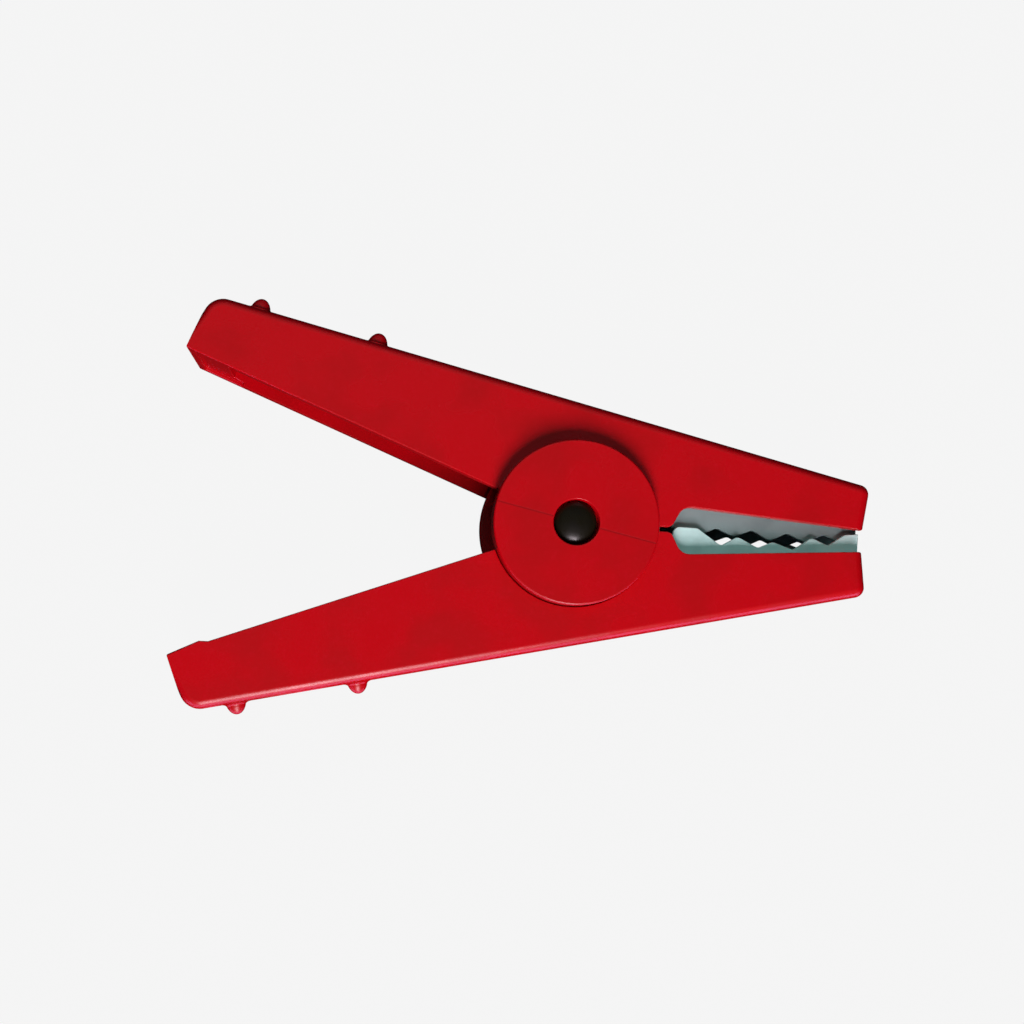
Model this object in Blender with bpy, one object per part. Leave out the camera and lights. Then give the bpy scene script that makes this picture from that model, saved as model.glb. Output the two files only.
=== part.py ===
"""A two-lever insulated test clip with nested sheet-metal jaws, a torsion spring and a screw terminal.

It lies on its flank: X runs along the closed jaws to their tip, Y from the lower lever to the upper
one, and Z along the pivot. The origin is on the pivot's axis, at the face that the clip rests on.
Each half is drawn once and mirrored in Y. Lengths are in metres and angles in radians.
"""

import math

import bmesh
import bpy
from mathutils import Matrix, Vector

MM = 0.001
UPPER = 1
LOWER = -1

# The flank outline of a lever.
BACK_OFFSET = 10.29 * MM  # from the pivot axis to the line of a lever's back
BACK_SLOPE = math.radians(13.05)  # the back falls towards the tip
HANDLE_SLOPE = math.radians(21.2)  # the handle's inner edge rises towards the rear
HANDLE_LENGTH = 36.65 * MM
TIP_X = 25.35 * MM  # before the corner there is rounded
TIP_INNER = (24.87 * MM, 0.93 * MM)  # where the window's edge meets the tip's face
WINDOW_START = (9.3 * MM, 2.06 * MM)
WINDOW_RADIUS = 1.1 * MM
SLOT_HALF = 0.2 * MM
SLOT_END = 8.35 * MM
SLOT_RADIUS = 0.6 * MM
TIP_RADIUS = 0.85 * MM
REAR_RADIUS = 1.75 * MM

# Thicknesses, along the pivot.
TOTAL_WIDTH = 12.8 * MM
DISC_RISE = 1.6 * MM
WALL = 1.2 * MM
NEAR_FLANK = TOTAL_WIDTH - DISC_RISE
CHANNEL = (DISC_RISE + WALL, NEAR_FLANK - WALL)
MIDDLE = TOTAL_WIDTH / 2
EDGE_RADIUS = 0.8 * MM
EDGE_ZONE = 3.2 * MM  # the rounded edges lie less deep under the back than this

# The hinge.
DISC_RADIUS = 7.05 * MM
DISC_GAP = 0.2 * MM
FAR_EAR_RADIUS = 7.58 * MM
NEAR_EAR_RADIUS = 6.9 * MM  # it stays hidden under the near disc
EAR_OVERLAP = 0.4 * MM
EAR_THICKNESS = 1.2 * MM
EAR_GAP = 0.15 * MM
SHAFT_RADIUS = 1.5 * MM
SHAFT_PLAY = 0.1 * MM
HEAD_RADIUS = 1.8 * MM
HEAD_BORE = 1.95 * MM
HEAD_SEAT = 1.2 * MM  # depth of the counterbore that the pin's head sits in
CAP_RADIUS = 3.1 * MM
CAP_BORE = 3.25 * MM
CAP_THICKNESS = 0.9 * MM

# Handles.
BRIDGE_LENGTH = 3.5 * MM
BRIDGE_LIP = 0.28 * MM
LIP_CREST = 3.0 * MM  # from the handle's rear end
LIP_FOOT = 3.75 * MM
WIRE_HOLE_RADIUS = 1.1 * MM
WIRE_HOLE_DEPTH = 2.35 * MM
BRIDGE_RECESS = 0.35 * MM
PIP_PLACES = (-20.6 * MM, -31.2 * MM)
PIP_SIZE = (1.0 * MM, 0.8 * MM, 0.98 * MM)  # half its length, half its width and its height
PIP_Z = 9.95 * MM

# Jaws.
SHEET = 0.5 * MM
SHEET_GAP = 0.05 * MM
TAIL_STEP = 0.02 * MM  # the tail is planished by this much
LOWER_JAW_WIDTH = 7.0 * MM
UPPER_JAW_WIDTH = 5.7 * MM
JAW_START = 8.72 * MM
JAW_END = 24.75 * MM
BLANK_EDGE = 1.5 * MM  # how far a jaw's blank reaches past the clip's axis before its teeth are cut
TOOTH_STAGGER = -0.87 * MM  # how far the far side's teeth stand forward of the near side's
FAR_BITE = 0.2 * MM  # how much further in they reach
STAGGER_START = 9.8 * MM
STAGGER_FADE = 3.5 * MM
UPPER_TEETH = [
    (8.72, 0.35), (11.0, 0.35), (11.35, -0.1), (12.65, 0.55), (14.15, -0.13), (15.8, 0.55),
    (17.3, -0.32), (18.8, 0.45), (20.45, -0.3), (22.0, 0.5), (23.4, -0.15), (24.75, 0.2),
]
LOWER_TEETH = [
    (8.72, -0.2), (8.85, 0.2), (9.15, 0.4), (10.85, 0.38), (12.95, -1.03), (14.35, -0.17), (16.15, -1.03),
    (17.4, -0.44), (19.2, -1.03), (20.75, 0.12), (22.2, -0.48), (23.6, 0.55), (24.75, 0.67),
]
TAIL_WIDTH = 4.0 * MM
UPPER_TAIL_END = -28.2 * MM
LOWER_TAIL_END = -17.5 * MM
STUD_RADIUS = 0.9 * MM
STUD_PLACES = {"rear": 4.5 * MM, "front": 18.5 * MM}
STUD_HEIGHT = 1.4 * MM

# Spring and terminal.
SPRING_WIRE = 0.8 * MM
COIL_RADIUS = 2.75 * MM
COIL_TURNS = 3
COIL_PITCH = 0.95 * MM
COIL_STEP = math.radians(20)
SPRING_FOOT = -16.5 * MM  # where a leg ends along the back
SPRING_KNEE = -11.5 * MM  # where it leaves the tail for the coil
TERMINAL_PLACE = -25.6 * MM
TERMINAL_BORE = 1.15 * MM

ROUND_SEGMENTS = 48
HOLE_SEGMENTS = 24
CORNER_SEGMENTS = 5

COLOURS = {
    "red_plastic": ((0.42, 0.008, 0.012), 0.34, 0.0),
    "black_plastic": ((0.012, 0.01, 0.009), 0.25, 0.0),
    "plated_steel": ((0.5, 0.56, 0.55), 0.35, 1.0),
    "spring_steel": ((0.35, 0.35, 0.34), 0.3, 1.0),
    "brass": ((0.7, 0.48, 0.18), 0.3, 1.0),
    "white_plastic": ((0.75, 0.74, 0.7), 0.45, 0.0),
}


def clear_scene():
    for thing in list(bpy.data.objects):
        bpy.data.objects.remove(thing, do_unlink=True)


def material(name):
    """The named finish, made the first time it is asked for."""
    found = bpy.data.materials.get(name)
    if found:
        return found
    colour, roughness, metallic = COLOURS[name]
    made = bpy.data.materials.new(name)
    made.use_nodes = True
    shader = made.node_tree.nodes["Principled BSDF"]
    shader.inputs["Base Color"].default_value = (*colour, 1.0)
    shader.inputs["Roughness"].default_value = roughness
    shader.inputs["Metallic"].default_value = metallic
    return made


# Places on a lever.


def back_point(along, depth, side):
    """A point below a lever's back: along it from beside the pivot towards the tip, and so deep."""
    reach = BACK_OFFSET - depth
    x = reach * math.sin(BACK_SLOPE) + along * math.cos(BACK_SLOPE)
    y = reach * math.cos(BACK_SLOPE) - along * math.sin(BACK_SLOPE)
    return Vector((x, side * y))


def handle_point(distance, proud, side):
    """A point by a handle's inner edge, so far from the pivot, and standing proud towards the other handle."""
    x = -distance * math.cos(HANDLE_SLOPE) - proud * math.sin(HANDLE_SLOPE)
    y = distance * math.sin(HANDLE_SLOPE) - proud * math.cos(HANDLE_SLOPE)
    return Vector((x, side * y))


def handle_point_at_depth(distance, depth, side):
    """The point square to a handle's inner edge, so far from the pivot, that lies so deep under the back."""
    edge_rise = math.sin(HANDLE_SLOPE - BACK_SLOPE)
    square_rise = math.cos(HANDLE_SLOPE - BACK_SLOPE)
    return handle_point(distance, -(BACK_OFFSET - depth - distance * edge_rise) / square_rise, side)


def along_back(x, depth):
    """The distance along a back at which a point so deep under it has this x."""
    return (x - (BACK_OFFSET - depth) * math.sin(BACK_SLOPE)) / math.cos(BACK_SLOPE)


def back_frame(along, depth, side, height=MIDDLE):
    """A placement whose Z points out of a lever's back and whose X points along it to the tip."""
    across = math.pi / 2 - BACK_SLOPE
    outward = Vector((math.cos(across), side * math.sin(across), 0))
    forward = Vector((math.sin(across), -side * math.cos(across), 0))
    turn = Matrix((forward, outward.cross(forward), outward)).transposed().to_4x4()
    point = back_point(along, depth, side)
    return Matrix.Translation((point.x, point.y, height)) @ turn


# Shapes.


def new_object(name, mesh, finish):
    made = bpy.data.objects.new(name, mesh)
    bpy.context.scene.collection.objects.link(made)
    if finish:
        mesh.materials.append(material(finish))
    return made


def mesh_from(form, name):
    bmesh.ops.recalc_face_normals(form, faces=form.faces)
    mesh = bpy.data.meshes.new(name)
    form.to_mesh(mesh)
    form.free()
    return mesh


def rounded(corners):
    """The outline through these (point, radius) corners, each turned into an arc of its radius."""
    outline = []
    for index, (corner, radius) in enumerate(corners):
        if not radius:
            outline.append(corner)
            continue
        before = (corners[index - 1][0] - corner).normalized()
        after = (corners[(index + 1) % len(corners)][0] - corner).normalized()
        half_angle = before.angle(after) / 2
        centre = corner + (before + after).normalized() * (radius / math.sin(half_angle))
        first = corner + before * (radius / math.tan(half_angle)) - centre
        sweep = math.pi - 2 * half_angle
        if first.x * after.y - first.y * after.x < 0:
            sweep = -sweep
        for step in range(CORNER_SEGMENTS + 1):
            turn = Matrix.Rotation(sweep * step / CORNER_SEGMENTS, 2)
            outline.append(centre + turn @ first)
    return outline


def prism(name, outline, bottom, top, finish=None):
    """An outline in X and Y, pulled from one height to another."""
    form = bmesh.new()
    face = form.faces.new([form.verts.new((point[0], point[1], bottom)) for point in outline])
    pulled = bmesh.ops.extrude_face_region(form, geom=[face])["geom"]
    raised = [item for item in pulled if isinstance(item, bmesh.types.BMVert)]
    bmesh.ops.translate(form, verts=raised, vec=(0, 0, top - bottom))
    return new_object(name, mesh_from(form, name), finish)


def turned(name, profile, finish=None, segments=ROUND_SEGMENTS):
    """A closed profile of (radius, height) points turned about Z. Points at radius 0 close on the axis."""
    form = bmesh.new()
    rings = []
    for radius, height in profile:
        count = segments if radius else 1
        angles = [2 * math.pi * step / count for step in range(count)]
        ring = [form.verts.new((radius * math.cos(a), radius * math.sin(a), height)) for a in angles]
        rings.append(ring)
    for first, second in zip(rings, rings[1:] + rings[:1]):
        if len(first) == 1 and len(second) == 1:
            continue
        for step in range(segments):
            following = (step + 1) % segments
            corners = [first[step % len(first)], first[following % len(first)]]
            corners += [second[following % len(second)], second[step % len(second)]]
            form.faces.new(list(dict.fromkeys(corners)))
    return new_object(name, mesh_from(form, name), finish)


def ring_profile(inner, outer, bottom, top, chamfer=0.0):
    """A ring's section, its outer corners cut at 45 degrees by the chamfer."""
    if not chamfer:
        return [(inner, bottom), (outer, bottom), (outer, top), (inner, top)]
    return [
        (inner, bottom),
        (outer - chamfer, bottom),
        (outer, bottom + chamfer),
        (outer, top - chamfer),
        (outer - chamfer, top),
        (inner, top),
    ]


def place(thing, placement):
    thing.data.transform(placement)
    return thing


def combine(target, operation, *others):
    """Joins or cuts the target with helper objects that stay out of the finished part."""
    for other in others:
        other.hide_render = True
        other.display_type = "WIRE"
        step = target.modifiers.new(f"{operation.lower()}_{other.name}", "BOOLEAN")
        step.operation = operation
        step.solver = "EXACT"
        step.object = other


def shade(thing, angle=30):
    thing.data.shade_smooth()
    thing.data.set_sharp_from_angle(angle=math.radians(angle))


# Levers.


def lever_outline(side):
    lip = [
        (handle_point(HANDLE_LENGTH - LIP_CREST, BRIDGE_LIP, side), 0),
        (handle_point(HANDLE_LENGTH - LIP_FOOT, 0, side), 0),
    ]
    corners = [
        (Vector((TIP_INNER[0], side * TIP_INNER[1])), 0),
        (back_point(along_back(TIP_X, 0), 0, side), TIP_RADIUS),
        (handle_point_at_depth(HANDLE_LENGTH, 0, side), REAR_RADIUS),
        (handle_point(HANDLE_LENGTH, 0, side), 0),
        *(lip if side == LOWER else []),
        (handle_point(DISC_RADIUS / 2, 0, side), 0),
        (Vector((DISC_RADIUS / 2, side * SLOT_HALF)), 0),
        (Vector((SLOT_END, side * SLOT_HALF)), SLOT_RADIUS),
        (Vector((WINDOW_START[0], side * WINDOW_START[1])), WINDOW_RADIUS),
    ]
    return rounded(corners)


def round_back_edges(shell, side):
    """Bevels the long edges of the back, and those of the corners at its two ends."""
    form = bmesh.new()
    form.from_mesh(shell.data)
    outward = Vector((math.sin(BACK_SLOPE), side * math.cos(BACK_SLOPE)))
    edges = []
    for edge in form.edges:
        first, second = (vertex.co for vertex in edge.verts)
        middle = (first + second) / 2
        level = abs(first.z - second.z) < 0.01 * MM
        shallow = middle.xy.dot(outward) > BACK_OFFSET - EDGE_ZONE
        if level and shallow:
            edges.append(edge)
    bmesh.ops.bevel(form, geom=edges, offset=EDGE_RADIUS, segments=3, profile=0.5, affect="EDGES")
    form.to_mesh(shell.data)
    form.free()


def channel_cutter(name, side):
    low, high = CHANNEL
    beyond = 3 * MM
    rear = HANDLE_LENGTH - BRIDGE_LENGTH
    outline = [
        back_point(TIP_X + beyond, WALL, side),
        handle_point_at_depth(rear, WALL, side),
        handle_point(rear, beyond, side),
        Vector((0, -side * beyond)),
        Vector((TIP_X + beyond, -side * beyond)),
    ]
    return prism(f"cutter_{name}_channel", outline, low, high)


def bridge_recess_cutter(name, side):
    """Sets the bridge's inner face a little below the edges of the two cheeks."""
    front = HANDLE_LENGTH - BRIDGE_LENGTH - MM
    rear = HANDLE_LENGTH - 0.7 * MM
    outline = [
        handle_point(front, -BRIDGE_RECESS, side),
        handle_point(rear, -BRIDGE_RECESS, side),
        handle_point(rear, 2 * MM, side),
        handle_point(front, 2 * MM, side),
    ]
    inset = WALL / 2
    low, high = CHANNEL
    return prism(f"cutter_{name}_bridge", outline, low - inset, high + inset)


def wire_hole_cutter(side):
    middle = handle_point_at_depth(HANDLE_LENGTH - BRIDGE_LENGTH / 2, WIRE_HOLE_DEPTH, side)
    length = 3 * BRIDGE_LENGTH
    cutter = turned(
        "cutter_wire_hole",
        [(0, -length / 2), (WIRE_HOLE_RADIUS, -length / 2), (WIRE_HOLE_RADIUS, length / 2), (0, length / 2)],
        segments=HOLE_SEGMENTS,
    )
    turn = Matrix.Rotation(-side * HANDLE_SLOPE, 4, "Z") @ Matrix.Rotation(math.pi / 2, 4, "Y")
    return place(cutter, Matrix.Translation((middle.x, middle.y, MIDDLE)) @ turn)


def grip_pip(name, along, side):
    """A small dome on a handle's back, beside the near flank."""
    form = bmesh.new()
    bmesh.ops.create_uvsphere(form, u_segments=HOLE_SEGMENTS, v_segments=ROUND_SEGMENTS // 4, radius=1.0)
    length, width, height = PIP_SIZE
    for vertex in form.verts:
        vertex.co = (vertex.co.x * length, vertex.co.y * width, vertex.co.z * height)
    return place(new_object(name, mesh_from(form, name), None), back_frame(along, 0, side, PIP_Z))


def stud(name, along, side):
    """A moulded stud on the channel's floor, which a push nut grips."""
    top = -WALL / 2
    bottom = -WALL - STUD_HEIGHT
    profile = [(0, bottom), (STUD_RADIUS, bottom), (STUD_RADIUS, top), (0, top)]
    made = turned(name, profile, segments=HOLE_SEGMENTS)
    return place(made, back_frame(along, 0, side))


def lever(name, side, pivot_clearance):
    """The bent channel that both levers share, open around the pivot."""
    shell = prism(name, lever_outline(side), DISC_RISE, NEAR_FLANK, "red_plastic")
    round_back_edges(shell, side)
    around_pivot = [(0, -MM), (pivot_clearance, -MM), (pivot_clearance, TOTAL_WIDTH + MM), (0, TOTAL_WIDTH + MM)]
    hollows = [channel_cutter(name, side), bridge_recess_cutter(name, side)]
    combine(shell, "DIFFERENCE", *hollows, turned(f"cutter_{name}_pivot", around_pivot))
    pips = [grip_pip(f"join_{name}_pip_{i}", along, side) for i, along in enumerate(PIP_PLACES)]
    studs = [stud(f"join_{name}_stud_{end}", along, side) for end, along in STUD_PLACES.items()]
    combine(shell, "UNION", *pips, *studs)
    return shell


def pivot_disc(name, bottom, top, seat_radius, seat_bottom, seat_top):
    """A round cheek with the pin's bore and a counterbore from seat_bottom to seat_top."""
    bore = SHAFT_RADIUS + SHAFT_PLAY
    chamfer = 0.25 * MM
    if seat_top == top:
        profile = [
            (bore, bottom),
            (DISC_RADIUS, bottom),
            (DISC_RADIUS, top - chamfer),
            (DISC_RADIUS - chamfer, top),
            (seat_radius, top),
            (seat_radius, seat_bottom),
            (bore, seat_bottom),
        ]
    else:
        profile = [
            (seat_radius, bottom),
            (DISC_RADIUS - chamfer, bottom),
            (DISC_RADIUS, bottom + chamfer),
            (DISC_RADIUS, top),
            (bore, top),
            (bore, seat_top),
            (seat_radius, seat_top),
        ]
    return turned(name, profile)


def upper_lever():
    """The half with the round cheeks, the wire entry, the terminal's recess and the guide ribs."""
    low, high = CHANNEL
    shell = lever("upper_lever", UPPER, DISC_RADIUS - MM)
    near = pivot_disc("join_near_disc", high, TOTAL_WIDTH, HEAD_BORE, TOTAL_WIDTH - HEAD_SEAT, TOTAL_WIDTH)
    far = pivot_disc("join_far_disc", 0, low, CAP_BORE, 0, CAP_THICKNESS + EAR_GAP)
    combine(shell, "UNION", near, far)
    rib = (high - low - UPPER_JAW_WIDTH) / 2 - 2 * SHEET_GAP
    for label, bottom, top in (("far", low - WALL / 2, low + rib), ("near", high - rib, high + WALL / 2)):
        outline = [
            back_point(20 * MM, WALL / 2, UPPER),
            back_point(9 * MM, WALL / 2, UPPER),
            back_point(9 * MM, WALL + 1.2 * MM, UPPER),
            back_point(20 * MM, WALL + 1.2 * MM, UPPER),
        ]
        combine(shell, "UNION", prism(f"join_{label}_guide_rib", outline, bottom, top))
    recess = turned(
        "cutter_terminal_recess",
        [(0, -WALL - MM), (TERMINAL_BORE, -WALL - MM), (TERMINAL_BORE, -WALL / 3), (0, -WALL / 3)],
        segments=HOLE_SEGMENTS,
    )
    place(recess, back_frame(TERMINAL_PLACE, 0, UPPER))
    combine(shell, "DIFFERENCE", recess, wire_hole_cutter(UPPER))
    shade(shell)
    return shell


def root_sector(inner, outer):
    """The sector in which an ear grows out of the lower lever."""
    sweep = [math.radians(angle) for angle in range(206, 317, 10)]
    outline = [Vector((outer * math.cos(angle), outer * math.sin(angle))) for angle in sweep]
    outline += [Vector((inner * math.cos(angle), inner * math.sin(angle))) for angle in reversed(sweep)]
    return outline


def lower_lever():
    """The half whose ears turn on the pin between the upper lever's round cheeks."""
    low, high = CHANNEL
    shell = lever("lower_lever", LOWER, DISC_RADIUS + DISC_GAP)
    outer = BACK_OFFSET - 0.7 * WALL
    root = root_sector(DISC_RADIUS + 1.5 * DISC_GAP, outer)
    into_cheek = EAR_GAP + WALL / 4
    bore = SHAFT_RADIUS + SHAFT_PLAY
    far_bottom = low + EAR_GAP
    far_top = far_bottom + EAR_THICKNESS
    near_top = high - EAR_GAP
    near_bottom = near_top - EAR_THICKNESS
    web = root_sector(NEAR_EAR_RADIUS - EAR_OVERLAP, outer - EAR_OVERLAP)
    combine(
        shell,
        "UNION",
        turned("join_far_ear", ring_profile(bore, FAR_EAR_RADIUS, far_bottom, far_top)),
        prism("join_far_ear_root", root, far_bottom - into_cheek, far_top),
        turned("join_near_ear", ring_profile(bore, NEAR_EAR_RADIUS, near_bottom, near_top)),
        prism("join_near_ear_web", web, near_bottom, near_top),
        prism("join_near_ear_root", root, near_top - EAR_OVERLAP, near_top + into_cheek),
    )
    shade(shell)
    return shell


# Jaws.


def tooth_cutter(name, side, stagger, bite, bottom, top):
    """Cuts a jaw's biting edge from its rear end to its tip; the stagger moves teeth forward, the bite in."""
    line = []
    for x, y in UPPER_TEETH if side == UPPER else LOWER_TEETH:
        fade = min(MM, max(0, x * MM - STAGGER_START)) / MM
        shift = stagger * min(fade, (JAW_END - x * MM) / STAGGER_FADE)
        line.append(Vector((x * MM + shift, y * MM - side * bite * fade)))
    before, after = JAW_START - MM, JAW_END + MM
    beyond = -side * 2 * BLANK_EDGE
    line = [Vector((before, line[0].y))] + line + [Vector((after, line[-1].y))]
    return prism(name, line + [Vector((after, beyond)), Vector((before, beyond))], bottom, top)


def jaw_blank(side, floor, tail_end):
    """A jaw from the side before its teeth are cut: with the tail at its rear, and the floor under the back."""
    tail_top = floor + SHEET - TAIL_STEP
    return [
        Vector((JAW_START, -side * BLANK_EDGE)),
        Vector((JAW_END, -side * BLANK_EDGE)),
        back_point(along_back(JAW_END, floor), floor, side),
        back_point(tail_end, floor, side),
        back_point(tail_end, tail_top, side),
        back_point(along_back(JAW_START, tail_top), tail_top, side),
    ]


def jaw(name, side, width, tail_end, terminal=None):
    """A folded channel of sheet with toothed sides, and a tail along the floor of its lever."""
    floor = WALL + SHEET_GAP
    low = MIDDLE - width / 2
    high = MIDDLE + width / 2
    sheet = prism(name, jaw_blank(side, floor, tail_end), low, high, "plated_steel")
    near_teeth = tooth_cutter(f"cutter_{name}_near_teeth", side, 0, 0, MIDDLE, high + MM)
    far_teeth = tooth_cutter(f"cutter_{name}_far_teeth", side, TOOTH_STAGGER, FAR_BITE, low - MM, MIDDLE)
    combine(sheet, "DIFFERENCE", near_teeth, far_teeth)
    beyond = 3 * MM
    inside = [
        back_point(TIP_X + beyond, floor + SHEET, side),
        back_point(JAW_START - 2 * beyond, floor + SHEET, side),
        Vector((JAW_START - beyond, -side * beyond)),
        Vector((TIP_X + beyond, -side * beyond)),
    ]
    combine(sheet, "DIFFERENCE", prism(f"cutter_{name}_inside", inside, low + SHEET, high - SHEET))
    beside_tail = [
        Vector((JAW_START, -side * beyond)),
        Vector((JAW_START, side * 2 * BACK_OFFSET)),
        Vector((2 * tail_end, side * 2 * BACK_OFFSET)),
        Vector((2 * tail_end, -side * beyond)),
    ]
    for label, bottom, top in (
        ("far", low - MM, MIDDLE - TAIL_WIDTH / 2),
        ("near", MIDDLE + TAIL_WIDTH / 2, high + MM),
    ):
        combine(sheet, "DIFFERENCE", prism(f"cutter_{name}_{label}_of_tail", beside_tail, bottom, top))
    holes = [(along, STUD_RADIUS + 0.1 * MM) for along in STUD_PLACES.values()]
    if terminal is not None:
        holes.append((terminal, TERMINAL_BORE - 0.1 * MM))
    for index, (along, radius) in enumerate(holes):
        profile = [(0, -floor - MM), (radius, -floor - MM), (radius, MM - floor), (0, MM - floor)]
        cutter = turned(f"cutter_{name}_hole_{index}", profile, segments=HOLE_SEGMENTS)
        combine(sheet, "DIFFERENCE", place(cutter, back_frame(along, 0, side)))
    return sheet


def push_nut(name, along, side):
    """A thin toothed ring pressed over a stud, drawn as a dished ring."""
    face = -(WALL + SHEET_GAP + SHEET + 2 * SHEET_GAP)
    inner = STUD_RADIUS + 0.05 * MM
    outer = 1.75 * MM
    profile = [
        (inner, face - 0.5 * MM),
        (inner + 0.3 * MM, face - 0.5 * MM),
        (outer, face - 0.28 * MM),
        (outer, face),
        (inner + 0.3 * MM, face - 0.2 * MM),
        (inner, face - 0.2 * MM),
    ]
    nut = turned(name, profile, "spring_steel", HOLE_SEGMENTS)
    shade(nut)
    return place(nut, back_frame(along, 0, side))


# Hinge.


def pivot_pin():
    """A rivet with a low domed head in the near cheek and a neck that the end cap grips."""
    head_base = TOTAL_WIDTH - HEAD_SEAT + 0.1 * MM
    neck = SHAFT_RADIUS - 0.35 * MM
    shaft_end = CAP_THICKNESS + EAR_GAP
    profile = [
        (0, CAP_THICKNESS / 2),
        (neck, CAP_THICKNESS / 2),
        (neck, shaft_end),
        (SHAFT_RADIUS, shaft_end),
        (SHAFT_RADIUS, head_base),
        (HEAD_RADIUS, head_base),
    ]
    rim = TOTAL_WIDTH - 0.55 * MM
    crown = 0.35 * MM
    steps = 4
    for step in range(steps + 1):
        angle = math.pi / 2 * step / steps
        profile.append((HEAD_RADIUS * math.cos(angle) if step < steps else 0, rim + crown * math.sin(angle)))
    pin = turned("pivot_pin", profile, "black_plastic", HOLE_SEGMENTS)
    shade(pin)
    return pin


def pin_cap():
    """The round cap that closes the far side. Its flat face is the one the clip rests on."""
    grip = SHAFT_RADIUS - 0.3 * MM
    floor = CAP_THICKNESS / 2 - 0.1 * MM
    profile = [
        (0, 0),
        (CAP_RADIUS - 0.15 * MM, 0),
        (CAP_RADIUS, 0.15 * MM),
        (CAP_RADIUS, CAP_THICKNESS),
        (grip, CAP_THICKNESS),
        (grip, floor),
        (0, floor),
    ]
    cap = turned("pin_cap", profile, "black_plastic", HOLE_SEGMENTS)
    shade(cap)
    return cap


def spring_sleeve():
    """The tube on the pin that carries the coil between the two ears."""
    low, high = CHANNEL
    clearance = 2 * EAR_GAP + EAR_THICKNESS
    sleeve = turned(
        "spring_sleeve",
        ring_profile(SHAFT_RADIUS + SHAFT_PLAY, 2.15 * MM, low + clearance, high - clearance),
        "white_plastic",
        HOLE_SEGMENTS,
    )
    shade(sleeve)
    return sleeve


def torsion_spring():
    """A round-wire coil about the pivot, with a leg under the tail in each handle."""
    rise = COIL_PITCH * (COIL_TURNS + 0.6)
    start_height = MIDDLE - rise / 2
    leg_depth = WALL + SHEET + 3 * SHEET_GAP + SPRING_WIRE / 2
    foot = {side: back_point(SPRING_FOOT, leg_depth, side) for side in (UPPER, LOWER)}
    knee = {side: back_point(SPRING_KNEE, leg_depth, side) for side in (UPPER, LOWER)}
    reach = knee[UPPER].length
    tangent = math.atan2(knee[UPPER].y, knee[UPPER].x) - math.acos(COIL_RADIUS / reach)
    sweep = 2 * tangent + 2 * math.pi * COIL_TURNS
    steps = int(sweep / COIL_STEP)
    points = [(foot[UPPER].x, foot[UPPER].y, start_height), (knee[UPPER].x, knee[UPPER].y, start_height)]
    for step in range(steps + 1):
        share = step / steps
        angle = tangent - sweep * share
        points.append((COIL_RADIUS * math.cos(angle), COIL_RADIUS * math.sin(angle), start_height + rise * share))
    end_height = start_height + rise
    points += [(knee[LOWER].x, knee[LOWER].y, end_height), (foot[LOWER].x, foot[LOWER].y, end_height)]
    curve = bpy.data.curves.new("torsion_spring", "CURVE")
    curve.dimensions = "3D"
    curve.bevel_depth = SPRING_WIRE / 2
    curve.bevel_resolution = 2
    curve.use_fill_caps = True
    line = curve.splines.new("POLY")
    line.points.add(len(points) - 1)
    for slot, point in zip(line.points, points):
        slot.co = (*point, 1)
    return new_object("torsion_spring", curve, "spring_steel")


# Terminal.


def terminal_screw():
    """A slotted cheese-head screw that clamps the wire's end under its washer."""
    head_face = -(WALL + SHEET + 0.35 * MM + 4 * SHEET_GAP)
    shaft = TERMINAL_BORE - 0.25 * MM
    profile = [
        (0, head_face - 1.1 * MM),
        (1.35 * MM, head_face - 1.1 * MM),
        (1.6 * MM, head_face - 0.85 * MM),
        (1.6 * MM, head_face),
        (shaft, head_face),
        (shaft, -WALL / 3 - 0.15 * MM),
        (0, -WALL / 3 - 0.15 * MM),
    ]
    screw = turned("terminal_screw", profile, "plated_steel", HOLE_SEGMENTS)
    half = 0.22 * MM
    length = 2 * MM
    slot = [Vector((-length, -half)), Vector((length, -half)), Vector((length, half)), Vector((-length, half))]
    cutter = prism("cutter_screw_slot", slot, head_face - 2 * MM, head_face - 0.6 * MM)
    placement = back_frame(TERMINAL_PLACE, 0, UPPER)
    place(cutter, placement)
    place(screw, placement)
    combine(screw, "DIFFERENCE", cutter)
    shade(screw)
    return screw


def clamp_washer():
    face = -(WALL + SHEET + 2 * SHEET_GAP)
    profile = ring_profile(TERMINAL_BORE - 0.1 * MM, 1.9 * MM, face - 0.35 * MM, face)
    washer = turned("clamp_washer", profile, "brass", HOLE_SEGMENTS)
    shade(washer)
    return place(washer, back_frame(TERMINAL_PLACE, 0, UPPER))


def pivot_empty(name):
    empty = bpy.data.objects.new(name, None)
    empty.empty_display_size = 5 * MM
    bpy.context.scene.collection.objects.link(empty)
    return empty


def main():
    clear_scene()
    upper_half = pivot_empty("upper_half")
    lower_half = pivot_empty("lower_half")
    upper = [
        upper_lever(),
        jaw("upper_jaw", UPPER, UPPER_JAW_WIDTH, UPPER_TAIL_END, TERMINAL_PLACE),
        torsion_spring(),
        spring_sleeve(),
        pivot_pin(),
        pin_cap(),
        terminal_screw(),
        clamp_washer(),
    ]
    lower = [lower_lever(), jaw("lower_jaw", LOWER, LOWER_JAW_WIDTH, LOWER_TAIL_END)]
    for end, along in STUD_PLACES.items():
        upper.append(push_nut(f"upper_push_nut_{end}", along, UPPER))
        lower.append(push_nut(f"lower_push_nut_{end}", along, LOWER))
    for thing in upper:
        thing.parent = upper_half
    for thing in lower:
        thing.parent = lower_half


main()
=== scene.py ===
import math

import bpy
from mathutils import Matrix, Vector


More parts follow.
